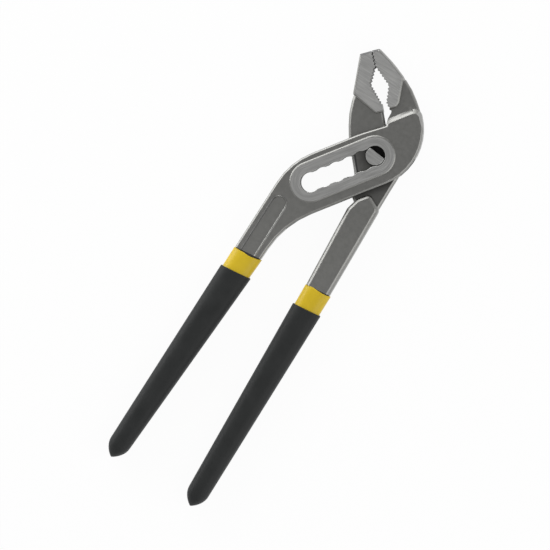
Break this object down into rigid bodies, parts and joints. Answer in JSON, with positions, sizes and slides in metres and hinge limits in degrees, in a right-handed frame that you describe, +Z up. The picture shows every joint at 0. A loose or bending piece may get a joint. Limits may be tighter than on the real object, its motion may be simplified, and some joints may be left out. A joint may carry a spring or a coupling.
{
  "type": "water pump pliers",
  "caption": "Water pump pliers: crossed forged steel levers with toothed jaws, a pin that shifts along a scalloped slot, and handles with dipped yellow and black coats.",
  "frame": {"origin": "on the surface the pliers lie on, under the middle of their box", "axes": "+Z up out of the front face, +Y along the handles toward the jaws, +X toward the pivot lever's handle"},
  "size_m": [0.0584, 0.2492, 0.0126],
  "materials": {
    "slotted_steel": "blasted dark grey forging, ground lighter on the jaw and the slot border",
    "pivot_steel": "blasted dark grey forging, ground lighter on the jaw",
    "pin_steel": "ground flush with the slot border",
    "yellow_coat": "dipped soft vinyl, satin",
    "black_coat": "dipped soft vinyl, fine matt grain"
  },
  "bodies": {
    "slotted_lever": {"slotted_lever": "slotted_steel", "slotted_undercoat": "yellow_coat", "slotted_grip": "black_coat"},
    "pivot_pin": {"pivot_pin": "pin_steel"},
    "pivot_lever": {"pivot_lever": "pivot_steel", "pivot_undercoat": "yellow_coat", "pivot_grip": "black_coat"}
  },
  "joints": [
    {"name": "notch_slide", "type": "slide", "parent": "slotted_lever", "child": "pivot_pin", "axis": [-0.5842, -0.8116, 0], "range_m": [0, 0.03585]},
    {"name": "handle_hinge", "type": "hinge", "parent": "pivot_pin", "child": "pivot_lever", "pos_m": [0.00822, 0.07755, 0.0063], "axis": [0, 0, 1], "range_deg": [0, 62]}
  ]
}
